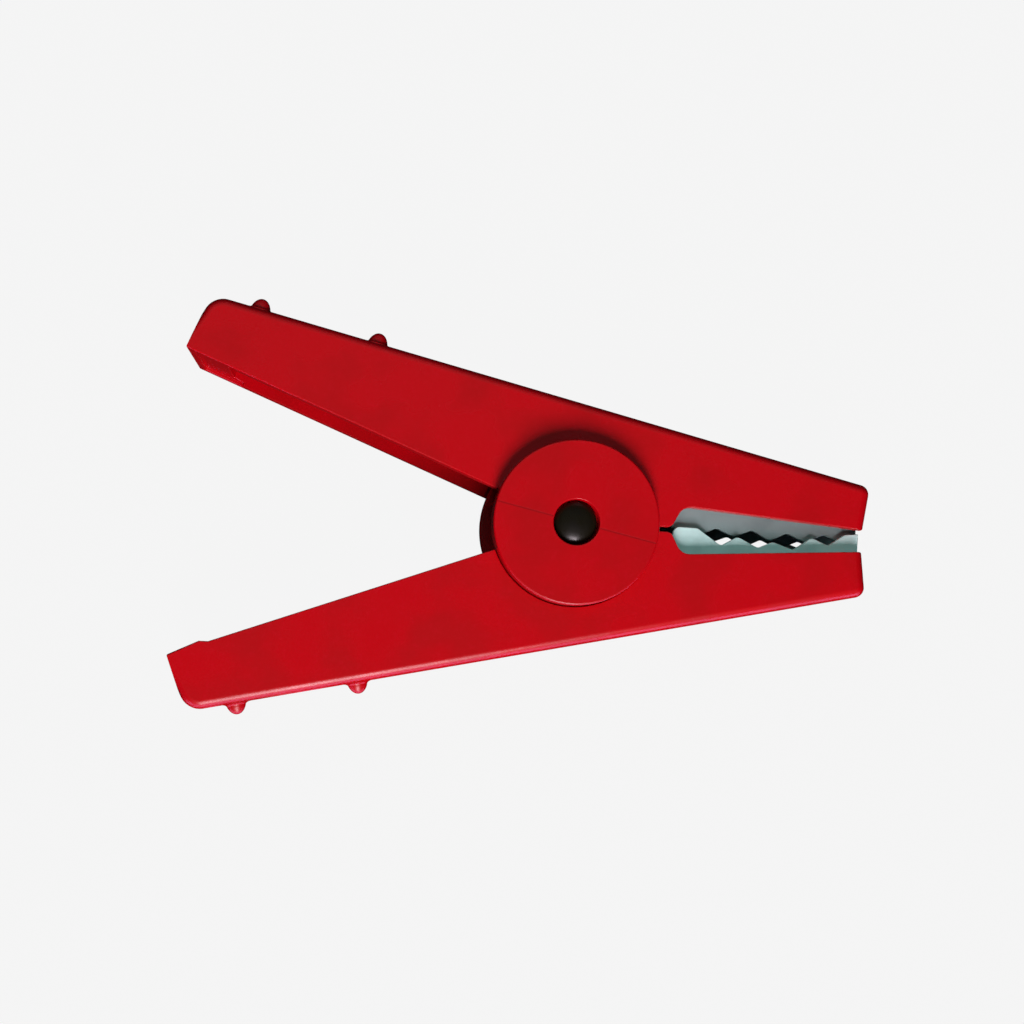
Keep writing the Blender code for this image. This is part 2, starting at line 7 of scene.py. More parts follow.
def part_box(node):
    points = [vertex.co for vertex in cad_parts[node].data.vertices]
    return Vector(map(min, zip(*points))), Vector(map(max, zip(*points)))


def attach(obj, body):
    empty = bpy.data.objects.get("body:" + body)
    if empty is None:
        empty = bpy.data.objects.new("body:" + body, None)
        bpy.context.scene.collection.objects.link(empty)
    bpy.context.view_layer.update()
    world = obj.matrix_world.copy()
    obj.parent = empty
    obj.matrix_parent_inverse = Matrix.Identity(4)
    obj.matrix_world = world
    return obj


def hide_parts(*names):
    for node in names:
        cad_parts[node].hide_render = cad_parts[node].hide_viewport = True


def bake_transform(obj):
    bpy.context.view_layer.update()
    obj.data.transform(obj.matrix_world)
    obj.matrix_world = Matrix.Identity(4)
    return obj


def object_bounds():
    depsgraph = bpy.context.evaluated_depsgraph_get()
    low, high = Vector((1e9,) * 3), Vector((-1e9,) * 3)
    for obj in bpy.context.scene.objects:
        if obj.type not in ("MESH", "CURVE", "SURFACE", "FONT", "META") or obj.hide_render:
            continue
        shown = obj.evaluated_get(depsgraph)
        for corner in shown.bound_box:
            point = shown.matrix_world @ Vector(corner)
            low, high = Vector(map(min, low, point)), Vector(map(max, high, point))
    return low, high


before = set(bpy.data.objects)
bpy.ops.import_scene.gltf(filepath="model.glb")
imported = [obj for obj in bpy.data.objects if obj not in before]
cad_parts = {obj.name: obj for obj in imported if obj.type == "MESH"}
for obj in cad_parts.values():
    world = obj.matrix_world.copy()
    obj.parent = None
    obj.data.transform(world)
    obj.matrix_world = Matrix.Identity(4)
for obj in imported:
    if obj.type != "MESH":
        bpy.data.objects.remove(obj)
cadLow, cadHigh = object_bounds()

mm = 0.001
upper = 1
lower = -1
middle = cadHigh.z / 2
flankFar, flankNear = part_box("lower_lever")[0].z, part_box("lower_lever")[1].z


def work(piece):
    # makes a piece the only selected and active one, in object mode
    if bpy.context.mode != "OBJECT":
        bpy.ops.object.mode_set(mode="OBJECT")
    bpy.ops.object.select_all(action="DESELECT")
    piece.select_set(True)
    bpy.context.view_layer.objects.active = piece


def pick(piece, kind, test):
    # goes into edit mode with just the corners, edges or faces that pass the test selected
    work(piece)
    mesh = piece.data
    for part in (mesh.vertices, mesh.edges, mesh.polygons):
        part.foreach_set("select", [False] * len(part))
    if kind == "VERT":
        mesh.vertices.foreach_set("select", [test(corner.co) for corner in mesh.vertices])
    elif kind == "EDGE":
        ends = [[mesh.vertices[index].co for index in edge.vertices] for edge in mesh.edges]
        mesh.edges.foreach_set("select", [test(first, second) for first, second in ends])
    else:
        mesh.polygons.foreach_set("select", [test(face.center, face.normal) for face in mesh.polygons])
    bpy.context.tool_settings.mesh_select_mode = [kind == each for each in ("VERT", "EDGE", "FACE")]
    bpy.ops.object.mode_set(mode="EDIT")


def tidyUp(piece):
    # merges doubles, turns the faces outwards and leaves edit mode
    if bpy.context.mode != "EDIT_MESH":
        work(piece)
        bpy.ops.object.mode_set(mode="EDIT")
    bpy.ops.mesh.select_mode(type="VERT")
    bpy.ops.mesh.select_all(action="SELECT")
    bpy.ops.mesh.remove_doubles(threshold=0.002 * mm)
    bpy.ops.mesh.normals_make_consistent(inside=False)
    bpy.ops.object.mode_set(mode="OBJECT")


def drawLine(name, points):
    # a chain of edges from a plane shrunk to one corner and pulled from point to point
    bpy.ops.object.select_all(action="DESELECT")
    bpy.ops.mesh.primitive_plane_add(size=mm, location=points[0])
    piece = bpy.context.object
    piece.name = name
    bpy.ops.object.transform_apply(location=True)
    bpy.context.tool_settings.mesh_select_mode = (True, False, False)
    bpy.ops.object.mode_set(mode="EDIT")
    bpy.ops.mesh.select_all(action="SELECT")
    bpy.ops.mesh.merge(type="CENTER")
    for before, after in zip(points, points[1:]):
        step = Vector(after) - Vector(before)
        bpy.ops.mesh.extrude_vertices_move(TRANSFORM_OT_translate={"value": step})
    return piece


def drawPlate(name, corners, low, high, fineness=6):
    # corners are (point, radius) in X and Y: the outline is drawn, its corners rounded, and pulled up
    points = [Vector((point[0], point[1], low)) for point, radius in corners]
    piece = drawLine(name, points + points[:1])
    bpy.ops.mesh.select_all(action="SELECT")
    bpy.ops.mesh.remove_doubles(threshold=0.001 * mm)
    bpy.ops.mesh.edge_face_add()
    bpy.ops.object.mode_set(mode="OBJECT")
    for index, (corner, radius) in enumerate(corners):
        if not radius:
            continue
        here = points[index]
        before = (points[index - 1] - here).normalized()
        after = (points[(index + 1) % len(points)] - here).normalized()
        reach = radius / math.tan(before.angle(after) / 2)
        pick(piece, "VERT", lambda place: (place - here).length < 0.01 * mm)
        bpy.ops.mesh.bevel(offset=reach, segments=fineness, affect="VERTICES", clamp_overlap=False)
    if bpy.context.mode != "EDIT_MESH":
        work(piece)
        bpy.ops.object.mode_set(mode="EDIT")
    bpy.ops.mesh.select_all(action="SELECT")
    bpy.ops.mesh.extrude_region_move(TRANSFORM_OT_translate={"value": (0, 0, high - low)})
    tidyUp(piece)
    return piece


def turnPiece(name, profile, steps=96):
    # a closed outline of (radius, height) points spun about the Z axis
    points = [(radius, 0, height) for radius, height in profile]
    piece = drawLine(name, points + points[:1])
    bpy.ops.mesh.select_all(action="SELECT")
    bpy.ops.mesh.remove_doubles(threshold=0.001 * mm)
    bpy.ops.mesh.spin(steps=steps, angle=2 * math.pi, center=(0, 0, 0), axis=(0, 0, 1))
    bpy.ops.mesh.select_all(action="SELECT")
    bpy.ops.mesh.remove_doubles(threshold=0.001 * mm)
    bpy.ops.mesh.delete_loose()
    tidyUp(piece)
    return piece


def rod(radius, low, high):
    # the profile of a plain round rod or hole
    return [(0, low), (radius, low), (radius, high), (0, high)]


def carve(piece, operation, *tools):
    # joins or cuts with helper pieces, which are then thrown away
    for tool in tools:
        cut = piece.modifiers.new(operation, "BOOLEAN")
        cut.operation = operation
        cut.solver = "EXACT"
        cut.object = tool
        work(piece)
        bpy.ops.object.modifier_apply(modifier=cut.name)
        bpy.data.objects.remove(tool)


def soften(piece, width, turns=2, angle=50):
    # rounds the edges that are sharper than the angle
    work(piece)
    edges = piece.modifiers.new("softEdges", "BEVEL")
    edges.width = width
    edges.segments = turns
    edges.limit_method = "ANGLE"
    edges.angle_limit = math.radians(angle)
    edges.use_clamp_overlap = False
    bpy.ops.object.modifier_apply(modifier=edges.name)


def smoothPiece(piece):
    # shades the piece smooth, with its flats kept flat
    work(piece)
    bpy.ops.object.shade_smooth_by_angle(angle=math.radians(40))
    evened = piece.modifiers.new("evenShading", "WEIGHTED_NORMAL")
    evened.keep_sharp = True
    bpy.ops.object.modifier_apply(modifier=evened.name)


def put(piece, placement):
    # moves a piece into place and leaves its object at the origin
    piece.matrix_world = placement
    work(piece)
    bpy.ops.object.transform_apply(location=True, rotation=True, scale=True)
    return piece


def finishPiece(piece, body, slot, material, *nodes):
    smoothPiece(piece)
    piece.data.materials.clear()
    piece.data.materials.append(material)
    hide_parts(*nodes)
    if body:
        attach(piece, body)


lever = {
    "backOffset": 10.29 * mm,
    "backSlope": math.radians(13.05),
    "handleSlope": math.radians(21.2),
    "handleLength": 36.65 * mm,
    "tip": 25.35 * mm,
    "tipRadius": 0.85 * mm,
    "tipInner": (24.87 * mm, 0.93 * mm),
    "rearRadius": 1.75 * mm,
    "windowStart": (9.3 * mm, 2.06 * mm),
    "windowRadius": 1.1 * mm,
    "slotEnd": 8.35 * mm,
    "slotRadius": 0.6 * mm,
    "slotHalf": 0.2 * mm,
    "wall": 1.2 * mm,
    "backEdge": 0.8 * mm,
    "edgeZone": 3.2 * mm,  # the rounded edges lie less deep under the back than this
    "bridge": 3.5 * mm,
    "lip": 0.28 * mm,
    "lipCrest": 3.0 * mm,
    "lipFoot": 3.75 * mm,
    "wireHoleDepth": 2.35 * mm,
    "bridgeRecess": 0.35 * mm,
    "bridgeEdge": 0.7 * mm,  # left standing at the rear of the bridge
    "hollowCorner": 0.4 * mm,
    "recessCorner": 0.2 * mm,
    "wireHole": 1.1 * mm,
    "studRadius": 0.9 * mm,
    "studHeight": 1.4 * mm,
    "studChamfer": 0.2 * mm,
    "studs": {"rear": 4.5 * mm, "front": 18.5 * mm},
    "innerFillet": 0.35 * mm,
    "rib": (9 * mm, 20 * mm),  # along the back, beside the upper jaw
    "ribHeight": 1.2 * mm,
    "ribCorner": 0.5 * mm,
    "softEdge": 0.12 * mm,
}
pip = {
    "places": (-20.6 * mm, -31.2 * mm),
    "height": 0.98 * mm,
    "dome": 0.817 * mm,
    "domeShare": 0.72,  # of the height
    "steepest": math.radians(62),  # where the dome's curve hands over to the hollow one
    "flare": 0.5 * mm,  # the hollow curve at its foot
    "root": 0.4 * mm,
    "narrowed": 0.62,  # across the back
    "level": 9.95 * mm,
}
hinge = {
    "discRadius": 7.05 * mm,
    "discGap": 0.07 * mm,
    "rim": 0.2 * mm,
    "bore": 1.6 * mm,
    "headBore": 1.95 * mm,
    "headSeat": 1.2 * mm,
    "capBore": 3.25 * mm,
    "capSeat": 1.05 * mm,
    "farEar": 7.58 * mm,
    "nearEar": 6.9 * mm,
    "earThickness": 1.2 * mm,
    "earGap": 0.15 * mm,
    "earOverlap": 0.4 * mm,
    "earRoot": (206, 317),  # the sweep in degrees over which the ears grow out of the lever
    "seamHalf": 0.09 * mm,
    "seamTurn": math.radians(-11.8),
}
channelFar = flankFar + lever["wall"]
channelNear = flankNear - lever["wall"]


def backPoint(along, depth, side):
    reach = lever["backOffset"] - depth
    slope = lever["backSlope"]
    x = reach * math.sin(slope) + along * math.cos(slope)
    y = reach * math.cos(slope) - along * math.sin(slope)
    return Vector((x, side * y))


def handlePoint(distance, proud, side):
    slope = lever["handleSlope"]
    x = -distance * math.cos(slope) - proud * math.sin(slope)
    y = distance * math.sin(slope) - proud * math.cos(slope)
    return Vector((x, side * y))


def handlePointAtDepth(distance, depth, side):
    tilt = lever["handleSlope"] - lever["backSlope"]
    proud = -(lever["backOffset"] - depth - distance * math.sin(tilt)) / math.cos(tilt)
    return handlePoint(distance, proud, side)


def alongBack(x, depth):
    slope = lever["backSlope"]
    return (x - (lever["backOffset"] - depth) * math.sin(slope)) / math.cos(slope)


def backFrame(along, depth, side, height=middle):
    # Z points out of the back and X along it to the tip
    across = math.pi / 2 - lever["backSlope"]
    outward = Vector((math.cos(across), side * math.sin(across), 0))
    forward = Vector((math.sin(across), -side * math.cos(across), 0))
    turn = Matrix((forward, outward.cross(forward), outward)).transposed().to_4x4()
    return Matrix.Translation((*backPoint(along, depth, side), height)) @ turn


def leverBody(name, side, pivotClearance):
    length = lever["handleLength"]
    inside = hinge["discRadius"] / 2
    lip = [
        (handlePoint(length - lever["lipCrest"], lever["lip"], side), 0),
        (handlePoint(length - lever["lipFoot"], 0, side), 0),
    ]
    corners = [
        (Vector((lever["tipInner"][0], side * lever["tipInner"][1])), 0),
        (backPoint(alongBack(lever["tip"], 0), 0, side), lever["tipRadius"]),
        (handlePointAtDepth(length, 0, side), lever["rearRadius"]),
        (handlePoint(length, 0, side), 0),
        *(lip if side == lower else []),
        (handlePoint(inside, 0, side), 0),
        (Vector((inside, side * lever["slotHalf"])), 0),
        (Vector((lever["slotEnd"], side * lever["slotHalf"])), lever["slotRadius"]),
        (Vector((lever["windowStart"][0], side * lever["windowStart"][1])), lever["windowRadius"]),
    ]
    body = drawPlate(name, corners, flankFar, flankNear, fineness=8)
    outward = backFrame(0, 0, side).to_3x3() @ Vector((0, 0, 1))
    shallow = lever["backOffset"] - lever["edgeZone"]

    def onBack(first, second):
        level = abs(first.z - second.z) < 0.01 * mm
        return level and ((first + second) / 2).dot(outward) > shallow

    pick(body, "EDGE", onBack)
    bpy.ops.mesh.bevel(offset=lever["backEdge"], segments=6, affect="EDGES", clamp_overlap=False)
    bpy.ops.object.mode_set(mode="OBJECT")

    beyond = 3 * mm
    rear = length - lever["bridge"]
    hollow = drawPlate(
        "hollow",
        [
            (backPoint(lever["tip"] + beyond, lever["wall"], side), 0),
            (handlePointAtDepth(rear, lever["wall"], side), lever["hollowCorner"]),
            (handlePoint(rear, beyond, side), 0),
            (Vector((0, -side * beyond)), 0),
            (Vector((lever["tip"] + beyond, -side * beyond)), 0),
        ],
        channelFar,
        channelNear,
    )
    deepLine = lever["backOffset"] - lever["wall"] - 0.01 * mm

    def underBack(first, second):
        level = abs(first.z - second.z) < 0.01 * mm
        return level and min(first.dot(outward), second.dot(outward)) > deepLine

    pick(hollow, "EDGE", underBack)
    bpy.ops.mesh.bevel(offset=lever["innerFillet"], segments=4, affect="EDGES", clamp_overlap=False)
    bpy.ops.object.mode_set(mode="OBJECT")
    sunk = lever["bridgeRecess"]
    edge = length - lever["bridgeEdge"]
    recess = drawPlate(
        "recess",
        [
            (handlePoint(rear - mm, -sunk, side), 0),
            (handlePoint(edge, -sunk, side), lever["recessCorner"]),
            (handlePoint(edge, beyond, side), 0),
            (handlePoint(rear - mm, beyond, side), 0),
        ],
        channelFar - lever["wall"] / 2,
        channelNear + lever["wall"] / 2,
    )
    clearance = turnPiece("clearance", rod(pivotClearance, -mm, cadHigh.z + mm), 128)
    carve(body, "DIFFERENCE", hollow, recess, clearance)
    radius, end, chamfer = lever["studRadius"], -lever["wall"] - lever["studHeight"], lever["studChamfer"]
    profile = [(0, end), (radius - chamfer, end), (radius, end + chamfer)]
    profile += [(radius, -lever["wall"] / 2), (0, -lever["wall"] / 2)]
    for along in lever["studs"].values():
        carve(body, "UNION", put(turnPiece("stud", profile, 48), backFrame(along, 0, side)))
    return body


def gripPip(along, side):
    # a dome whose foot runs out into the back, spun and then narrowed across the back
    height, steepest = pip["height"], pip["steepest"]
    profile = [(0, height)]
    for step in range(1, 13):
        turn = steepest * step / 12
        reach = pip["dome"] * math.sin(turn) / math.sin(steepest)
        drop = pip["domeShare"] * (1 - math.cos(turn)) / (1 - math.cos(steepest))
        profile.append((reach, height * (1 - drop)))
    foot = profile[-1]
    for step in range(1, 7):
        turn = math.pi / 2 * step / 6
        profile.append((foot[0] + pip["flare"] * (1 - math.cos(turn)), foot[1] * (1 - math.sin(turn))))
    profile += [(profile[-1][0], -pip["root"]), (0, -pip["root"])]
    made = turnPiece("gripPip", profile, 64)
    bpy.ops.object.mode_set(mode="EDIT")
    bpy.ops.mesh.select_all(action="SELECT")
    bpy.ops.transform.resize(value=(1, pip["narrowed"], 1))
    bpy.ops.object.mode_set(mode="OBJECT")
    return put(made, backFrame(along, 0, side, pip["level"]))


def halfTurned(name, profile, outer, rim):
    # a round cheek or ear whose outer edges are eased
    made = turnPiece(name, profile, 160)
    pick(
        made,
        "EDGE",
        lambda a, b: min(a.xy.length, b.xy.length) > outer - 0.01 * mm and abs(a.z - b.z) < 0.01 * mm,
    )
    bpy.ops.mesh.bevel(offset=rim, segments=4, affect="EDGES", clamp_overlap=False)
    tidyUp(made)
    return made


def makeUpperLever(finish):
    body = leverBody("upperLever", upper, hinge["discRadius"] - mm)
    radius, bore = hinge["discRadius"], hinge["bore"]
    seat = cadHigh.z - hinge["headSeat"]
    nearCheek = [(bore, channelNear), (radius, channelNear), (radius, cadHigh.z)]
    nearCheek += [(hinge["headBore"], cadHigh.z), (hinge["headBore"], seat), (bore, seat)]
    farCheek = [(hinge["capBore"], 0), (radius, 0), (radius, channelFar), (bore, channelFar)]
    farCheek += [(bore, hinge["capSeat"]), (hinge["capBore"], hinge["capSeat"])]
    carve(
        body,
        "UNION",
        halfTurned("nearCheek", nearCheek, radius, hinge["rim"]),
        halfTurned("farCheek", farCheek, radius, hinge["rim"]),
    )
    jawGap = (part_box("upper_jaw")[0].z - channelFar) - 0.1 * mm
    rear, front = lever["rib"]
    base, crest = lever["wall"] / 2, lever["wall"] + lever["ribHeight"]
    rib = [
        (backPoint(front, base, upper), 0),
        (backPoint(rear, base, upper), 0),
        (backPoint(rear, crest, upper), lever["ribCorner"]),
        (backPoint(front, crest, upper), lever["ribCorner"]),
    ]
    carve(
        body,
        "UNION",
        drawPlate("farRib", rib, channelFar - mm / 2, channelFar + jawGap),
        drawPlate("nearRib", rib, channelNear - jawGap, channelNear + mm / 2),
    )
    recess = turnPiece("recess", rod(terminal["recess"], -2.5 * mm, -terminal["recessDepth"]), 48)
    carve(body, "DIFFERENCE", put(recess, backFrame(terminal["along"], 0, upper)))
    hole = turnPiece("hole", rod(lever["wireHole"], -5 * mm, 5 * mm), 48)
    centre = handlePointAtDepth(lever["handleLength"] - lever["bridge"] / 2, lever["wireHoleDepth"], upper)
    aim = Matrix.Rotation(-lever["handleSlope"], 4, "Z") @ Matrix.Rotation(math.pi / 2, 4, "Y")
    carve(body, "DIFFERENCE", put(hole, Matrix.Translation((*centre, middle)) @ aim))
    soften(body, lever["softEdge"])
    for along in pip["places"]:
        carve(body, "UNION", gripPip(along, upper))
    finishPiece(body, "upper_half", "red_plastic", finish, "upper_lever")
    print("upper lever:", len(body.data.polygons), "faces")


def rootSector(inner, outer):
    # where an ear grows out of the lower lever
    sweep = [math.radians(angle) for angle in range(*hinge["earRoot"], 5)]
    places = [(outer, turn) for turn in sweep] + [(inner, turn) for turn in reversed(sweep)]
    return [(Vector((radius * math.cos(turn), radius * math.sin(turn))), 0) for radius, turn in places]


def makeLowerLever(finish):
    body = leverBody("lowerLever", lower, hinge["discRadius"] + hinge["discGap"])
    outer = lever["backOffset"] - 0.7 * lever["wall"]
    gap, thick, bore = hinge["earGap"], hinge["earThickness"], hinge["bore"]
    into = gap + lever["wall"] / 4
    overlap = hinge["earOverlap"]
    root = rootSector(hinge["discRadius"] + 1.5 * hinge["discGap"], outer)
    web = rootSector(hinge["nearEar"] - overlap, outer - overlap)
    low = channelFar + gap
    high = channelNear - gap
    farEar = [(bore, low), (hinge["farEar"], low), (hinge["farEar"], low + thick), (bore, low + thick)]
    radius = hinge["nearEar"]
    nearEar = [(bore, high - thick), (radius, high - thick), (radius, high), (bore, high)]
    carve(
        body,
        "UNION",
        halfTurned("farEar", farEar, hinge["farEar"], hinge["rim"]),
        drawPlate("farEarRoot", root, low - into, low + thick),
        turnPiece("nearEar", nearEar, 128),
        drawPlate("nearEarWeb", web, high - thick, high),
        drawPlate("nearEarRoot", root, high - overlap, high + into),
    )
    soften(body, lever["softEdge"])
    for along in pip["places"]:
        carve(body, "UNION", gripPip(along, lower))
    finishPiece(body, "lower_half", "red_plastic", finish, "lower_lever")
    print("lower lever:", len(body.data.polygons), "faces")


jaw = {
    "sheet": 0.5 * mm,
    "sheetGap": 0.05 * mm,
    "start": 8.72 * mm,
    "end": 24.75 * mm,
    "stagger": -0.87 * mm,  # how far the far side's teeth stand forward of the near side's
    "bite": 0.2 * mm,  # how much further in they reach
    "staggerStart": 9.8 * mm,
    "staggerFade": 3.5 * mm,
    "fold": 0.75 * mm,
    "neck": 0.8 * mm,  # where the width narrows to the tail's
    "tailWidth": 4 * mm,
    "toothRadius": 0.4 * mm,
    "edge": 0.05 * mm,
}
upperJaw = {
    "side": upper,
    "tailEnd": -28.2 * mm,
    "teeth": [
        (8.72, 0.35), (11.0, 0.35), (11.35, -0.1), (12.65, 0.55), (14.15, -0.13), (15.8, 0.55),
        (17.3, -0.32), (18.8, 0.45), (20.45, -0.3), (22.0, 0.5), (23.4, -0.15), (24.75, 0.2),
    ],
}
lowerJaw = {
    "side": lower,
    "tailEnd": -17.5 * mm,
    "teeth": [
        (8.72, -0.2), (8.85, 0.2), (9.15, 0.4), (10.85, 0.38), (12.95, -1.03), (14.35, -0.17),
        (16.15, -1.03), (17.4, -0.44), (19.2, -1.03), (20.75, 0.12), (22.2, -0.48), (23.6, 0.55),
        (24.75, 0.67),
    ],
}
terminal = {
    "along": -25.6 * mm,
    "hole": 1.05 * mm,
    "recess": 1.15 * mm,
    "recessDepth": 0.4 * mm,
    "washer": 1.9 * mm,
    "washerSheet": 0.35 * mm,
    "washerEdge": 0.06 * mm,
    "head": 1.6 * mm,
    "headHeight": 1.1 * mm,
    "headEdge": 0.12 * mm,
    "slotHalf": 0.22 * mm,
    "slotDepth": 0.5 * mm,
    "shaft": 0.9 * mm,
    "shaftEnd": 0.55 * mm,
}


def makeJaw(name, node, body, shape, holes, finish):
    # a block with the jaw's outline is emptied to its two sides and floor, folded round and thickened
    side = shape["side"]
    low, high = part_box(node)[0].z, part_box(node)[1].z
    floor = lever["wall"] + jaw["sheetGap"]
    teeth = [Vector((x * mm, y * mm)) for x, y in shape["teeth"]]
    corners = [(teeth[0], 0)] + [(point, jaw["toothRadius"]) for point in teeth[1:-1]] + [(teeth[-1], 0)]
    corners += [(backPoint(alongBack(jaw["end"], floor), floor, side), 0)]
    corners += [(backPoint(alongBack(jaw["start"], floor), floor, side), 0)]
    made = drawPlate(name, corners, low, high, fineness=4)
    for tooth in teeth[1:]:
        fade = min(mm, max(0, tooth.x - jaw["staggerStart"])) / mm
        shift = jaw["stagger"] * min(fade, (jaw["end"] - tooth.x) / jaw["staggerFade"])
        pick(made, "VERT", lambda place: place.z < middle and (place.xy - tooth).length < 0.55 * mm)
        bpy.ops.transform.translate(value=(shift, -side * jaw["bite"] * fade, 0))
    outward = backFrame(0, 0, side).to_3x3() @ Vector((0, 0, 1))
    pick(made, "FACE", lambda centre, normal: abs(normal.z) < 0.9 and normal.dot(outward) < 0.95)
    bpy.ops.mesh.delete(type="ONLY_FACE")
    bpy.ops.mesh.select_all(action="SELECT")
    bpy.ops.mesh.delete_loose()
    bpy.ops.object.mode_set(mode="OBJECT")
    line = lever["backOffset"] - floor - 0.01 * mm

    def atFold(first, second):
        level = abs(first.z - second.z) < 0.01 * mm
        return level and min(first.dot(outward), second.dot(outward)) > line

    pick(made, "EDGE", atFold)
    bpy.ops.mesh.bevel(offset=jaw["fold"], segments=5, affect="EDGES", clamp_overlap=False)
    bpy.ops.object.mode_set(mode="OBJECT")
    start = backPoint(alongBack(jaw["start"], floor), floor, side)

    def atRear(first, second):
        close = max((first.xy - start).length, (second.xy - start).length) < 0.05 * mm
        return close and abs(first.z - second.z) > mm

    pick(made, "EDGE", atRear)
    forward = backFrame(0, 0, side).to_3x3() @ Vector((1, 0, 0))
    neck = jaw["neck"]
    bpy.ops.mesh.extrude_region_move(TRANSFORM_OT_translate={"value": -forward * neck})
    flat = high - low - 2 * jaw["fold"]
    bpy.ops.transform.resize(value=(1, 1, jaw["tailWidth"] / flat))
    rest = alongBack(jaw["start"], floor) - neck - shape["tailEnd"]
    bpy.ops.mesh.extrude_region_move(TRANSFORM_OT_translate={"value": -forward * rest})
    bpy.ops.object.mode_set(mode="OBJECT")
    work(made)
    thick = made.modifiers.new("sheet", "SOLIDIFY")
    thick.thickness = jaw["sheet"]
    thick.offset = -1
    thick.use_even_offset = True
    bpy.ops.object.modifier_apply(modifier=thick.name)
    for along, radius in holes:
        hole = turnPiece("hole", rod(radius, -3 * mm, 0), 48)
        carve(made, "DIFFERENCE", put(hole, backFrame(along, 0, side)))
    soften(made, jaw["edge"], 1, 55)
    finishPiece(made, body, "plated_steel", finish, node)
    print(name, len(made.data.polygons), "faces")


spring = {
    "wire": 0.8 * mm,
    "coil": 2.75 * mm,
    "turns": 3,
    "pitch": 0.95 * mm,
    "foot": -16.5 * mm,
    "knee": -11.5 * mm,
}
pin = {
    "shaft": 1.5 * mm,
    "neck": 1.15 * mm,
    "farEnd": 0.45 * mm,
    "head": 1.8 * mm,
    "headBase": 1.1 * mm,
    "below": 0.8 * mm,
    "crown": 0.58 * mm,
    "edge": 0.05 * mm,
}
cap = {"dimple": 1.2 * mm, "dimpleTop": 0.35 * mm, "edge": 0.15 * mm}
sleeve = {"edge": 0.1 * mm}
pushNut = {
    "play": 0.05 * mm,
    "collar": 0.3 * mm,
    "outer": 1.75 * mm,
    "height": 0.5 * mm,
    "rimHeight": 0.28 * mm,
    "hollow": 0.2 * mm,
    "slitReach": 1.32 * mm,
    "slitHalf": 0.09 * mm,
    "edge": 0.03 * mm,
}


def makePin(finish):
    end, capSeat, base = pin["farEnd"], hinge["capSeat"], cadHigh.z - pin["headBase"]
    profile = [(0, end), (pin["neck"], end), (pin["neck"], capSeat)]
    profile += [(pin["shaft"], capSeat), (pin["shaft"], base), (pin["head"], base)]
    rim = cadHigh.z - pin["below"]
    for step in range(17):
        turn = math.pi / 2 * step / 16
        radius = pin["head"] * math.cos(turn) if step < 16 else 0
        profile.append((radius, rim + pin["crown"] * math.sin(turn)))
    made = turnPiece("pivotPin", profile, 96)
    soften(made, pin["edge"], 2, 60)
    finishPiece(made, "upper_half", "black_plastic", finish, "pivot_pin")


def makeCap(finish):
    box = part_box("pin_cap")
    radius, thick = box[1].x, box[1].z
    profile = [(0, 0), (radius, 0), (radius, thick), (cap["dimple"], thick)]
    profile += [(cap["dimple"], cap["dimpleTop"]), (0, cap["dimpleTop"])]
    made = turnPiece("pinCap", profile, 96)
    soften(made, cap["edge"], 3, 60)
    finishPiece(made, "upper_half", "black_plastic", finish, "pin_cap")


def makeSleeve(finish):
    low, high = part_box("spring_sleeve")[0].z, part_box("spring_sleeve")[1].z
    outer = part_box("spring_sleeve")[1].x
    profile = [(hinge["bore"], low), (outer, low), (outer, high), (hinge["bore"], high)]
    made = turnPiece("springSleeve", profile, 72)
    soften(made, sleeve["edge"], 2, 60)
    finishPiece(made, "upper_half", "white_plastic", finish, "spring_sleeve")


def makeSpring(finish):
    wire, coil, turns = spring["wire"], spring["coil"], spring["turns"]
    rise = spring["pitch"] * (turns + 0.6)
    start = middle - rise / 2
    depth = lever["wall"] + jaw["sheet"] + 3 * jaw["sheetGap"] + wire / 2
    foot = {side: backPoint(spring["foot"], depth, side) for side in (upper, lower)}
    knee = {side: backPoint(spring["knee"], depth, side) for side in (upper, lower)}
    tangent = math.atan2(knee[upper].y, knee[upper].x) - math.acos(coil / knee[upper].length)
    sweep = 2 * tangent + 2 * math.pi * turns
    points = [(*foot[upper], start), (*knee[upper], start)]
    count = 24 * (turns + 1)
    for step in range(count + 1):
        angle = tangent - sweep * step / count
        points.append((coil * math.cos(angle), coil * math.sin(angle), start + rise * step / count))
    points += [(*knee[lower], start + rise), (*foot[lower], start + rise)]
    curve = bpy.data.curves.new("torsionSpring", "CURVE")
    curve.dimensions = "3D"
    curve.bevel_depth = wire / 2
    curve.bevel_resolution = 5
    curve.use_fill_caps = True
    route = curve.splines.new("POLY")
    route.points.add(len(points) - 1)
    for corner, point in zip(route.points, points):
        corner.co = (*point, 1)
    made = bpy.data.objects.new("torsionSpring", curve)
    bpy.context.scene.collection.objects.link(made)
    work(made)
    bpy.ops.object.convert(target="MESH")
    made = bpy.context.object
    tidyUp(made)
    finishPiece(made, None, "spring_steel", finish, "torsion_spring")
    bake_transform(made)


def bar(reach, half):
    # the outline of a slit or slot, centred
    return [(Vector((x * reach, y * half)), 0) for x, y in ((-1, -1), (1, -1), (1, 1), (-1, 1))]


def makePushNut(name, placement):
    # a dished ring with three slits across it
    face = -(lever["wall"] + jaw["sheet"] + 3 * jaw["sheetGap"])
    inner, outer = lever["studRadius"] + pushNut["play"], pushNut["outer"]
    collar = inner + pushNut["collar"]
    top, under = face - pushNut["height"], face - pushNut["hollow"]
    profile = [(inner, top), (collar, top), (outer, face - pushNut["rimHeight"])]
    profile += [(outer, face), (collar, under), (inner, under)]
    made = turnPiece(name, profile, 48)
    for step in range(3):
        slit = drawPlate("slit", bar(pushNut["slitReach"], pushNut["slitHalf"]), face - mm, face + mm)
        carve(made, "DIFFERENCE", put(slit, Matrix.Rotation(math.pi / 3 * step, 4, "Z")))
    put(made, placement)
    soften(made, pushNut["edge"], 1, 50)
    return made


